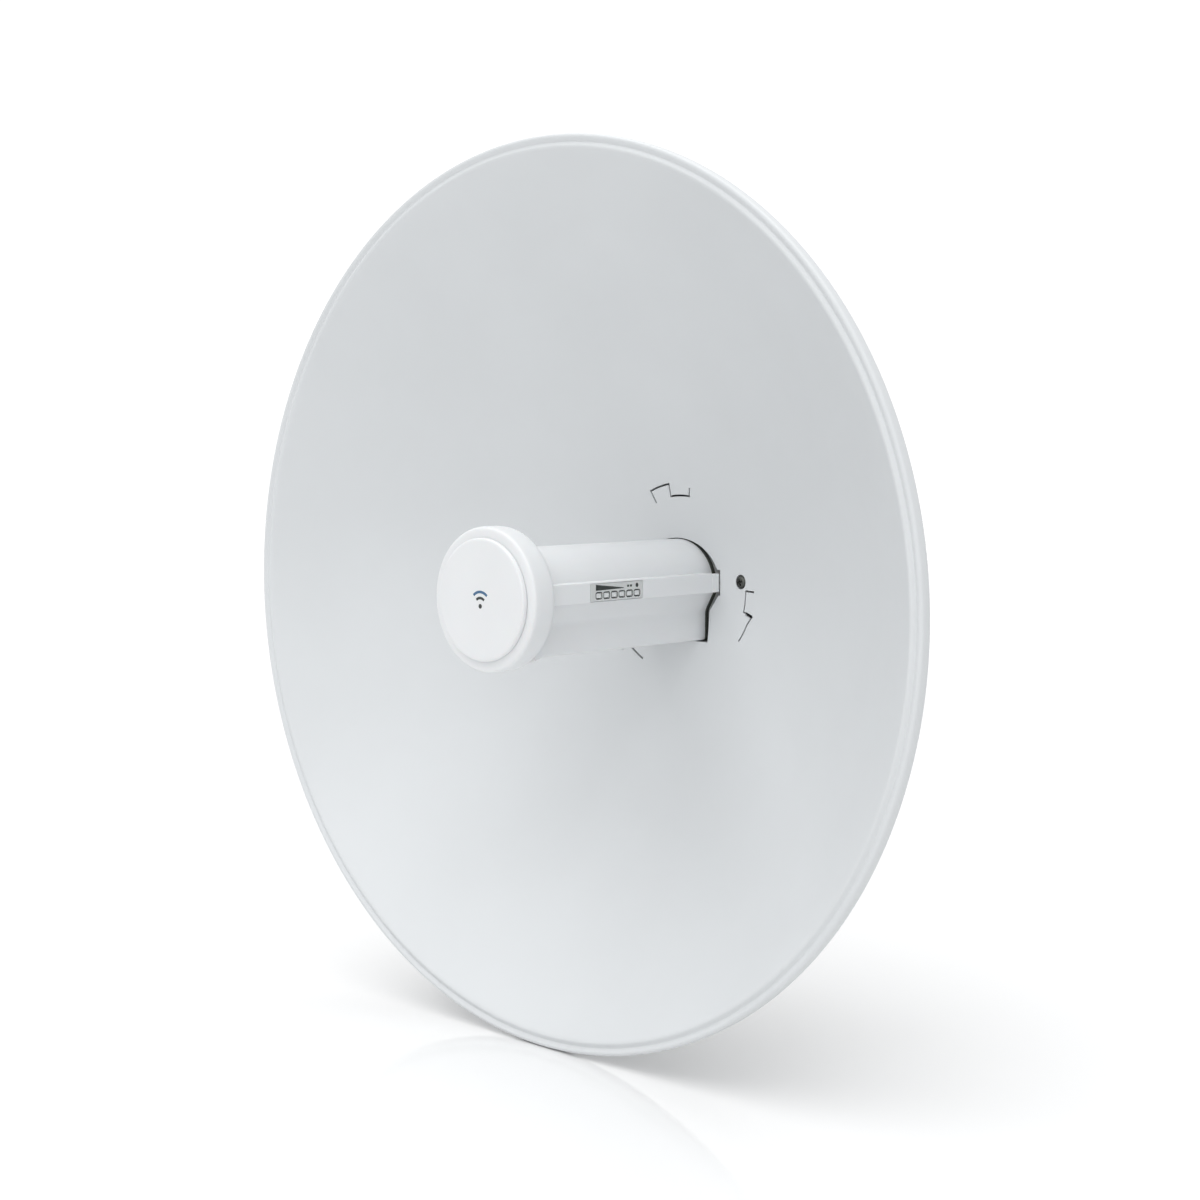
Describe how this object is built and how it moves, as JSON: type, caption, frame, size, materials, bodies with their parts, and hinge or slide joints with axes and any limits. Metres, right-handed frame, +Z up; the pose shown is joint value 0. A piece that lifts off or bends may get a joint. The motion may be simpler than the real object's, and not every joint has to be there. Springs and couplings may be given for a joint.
{
  "type": "outdoor wireless bridge",
  "caption": "Round dish antenna for a point-to-point wireless link, with a barrel feed plugged through its hub, a tilting rear housing and a clamp for a pole.",
  "frame": {"origin": "on the pole's axis, at the height of the dish's axis, midway between the jaws", "axes": "+Z up along the pole; the beam leaves along -Y at zero tilt; +X is the side of the status lights"},
  "size_m": [0.5224, 0.3037, 0.5224],
  "materials": {
    "dish_paint": "satin white powder coat",
    "feed_plastic": "fine satin moulded",
    "housing_plastic": "fine matte moulded",
    "panel_plastic": "smooth satin",
    "grey_plastic": "moulded",
    "black_plastic": "moulded",
    "clear_plastic": "frosted clear",
    "board": "green solder mask",
    "rubber": "matte",
    "tin_plate": "tin plated",
    "bare_aluminium": "spun",
    "brass": "plated",
    "dark_steel": "black zinc",
    "zinc_steel": "galvanised",
    "bolt_steel": "zinc plated"
  },
  "bodies": {
    "pole_bracket": {"pole_bracket": "zinc_steel", "carriage_bolt_1": "bolt_steel", "carriage_bolt_2": "bolt_steel", "carriage_bolt_3": "bolt_steel", "carriage_bolt_4": "bolt_steel", "pivot_bolt": "bolt_steel", "pivot_nut": "bolt_steel"},
    "pole_clamp": {"pole_clamp": "zinc_steel", "clamp_nut_1": "bolt_steel", "clamp_nut_2": "bolt_steel", "clamp_nut_3": "bolt_steel", "clamp_nut_4": "bolt_steel"},
    "dish": {"dish_reflector": "dish_paint", "rear_housing": "housing_plastic", "lock_screw": "dark_steel", "tilt_lock_bolt": "bolt_steel", "tilt_lock_nut": "bolt_steel"},
    "feed": {"feed_body": "feed_plastic", "cap_base": "feed_plastic", "feed_cap": "feed_plastic", "cap_face_disc": "feed_plastic", "cap_seal": "rubber", "sub_reflector": "bare_aluminium", "radiator": "brass", "circuit_board": "board", "rf_shield": "tin_plate", "network_jack": "tin_plate", "jack_contacts": "brass", "tail_cover": "feed_plastic", "reset_switch": "black_plastic", "light_pipe": "clear_plastic", "led_panel": "panel_plastic"},
    "latch": {"release_latch": "feed_plastic"},
    "reset": {"reset_button": "grey_plastic"},
    "port_cover": {"port_cover": "housing_plastic", "cable_grommet": "rubber"}
  },
  "joints": [
    {"name": "tilt", "type": "hinge", "parent": "pole_bracket", "child": "dish", "pos_m": [0, -0.049, 0.015], "axis": [-1, 0, 0], "range_deg": [-20, 20]},
    {"name": "clamp_slide", "type": "slide", "parent": "pole_bracket", "child": "pole_clamp", "axis": [0, 1, 0], "range_m": [-0.012, 0.005]},
    {"name": "feed_slide", "type": "slide", "parent": "dish", "child": "feed", "axis": [0, -1, 0], "range_m": [0, 0.06]},
    {"name": "latch_press", "type": "hinge", "parent": "feed", "child": "latch", "pos_m": [0.032, -0.088, 0.0026], "axis": [0, 0, -1], "range_deg": [0, 4.5], "stiffness_Nm_per_rad": 3.2},
    {"name": "reset_press", "type": "slide", "parent": "feed", "child": "reset", "axis": [0, 0, 1], "range_m": [0, 0.0007], "stiffness_N_per_m": 2000},
    {"name": "port_cover_slide", "type": "slide", "parent": "dish", "child": "port_cover", "axis": [0, 0, -1], "range_m": [0, 0.035]}
  ]
}
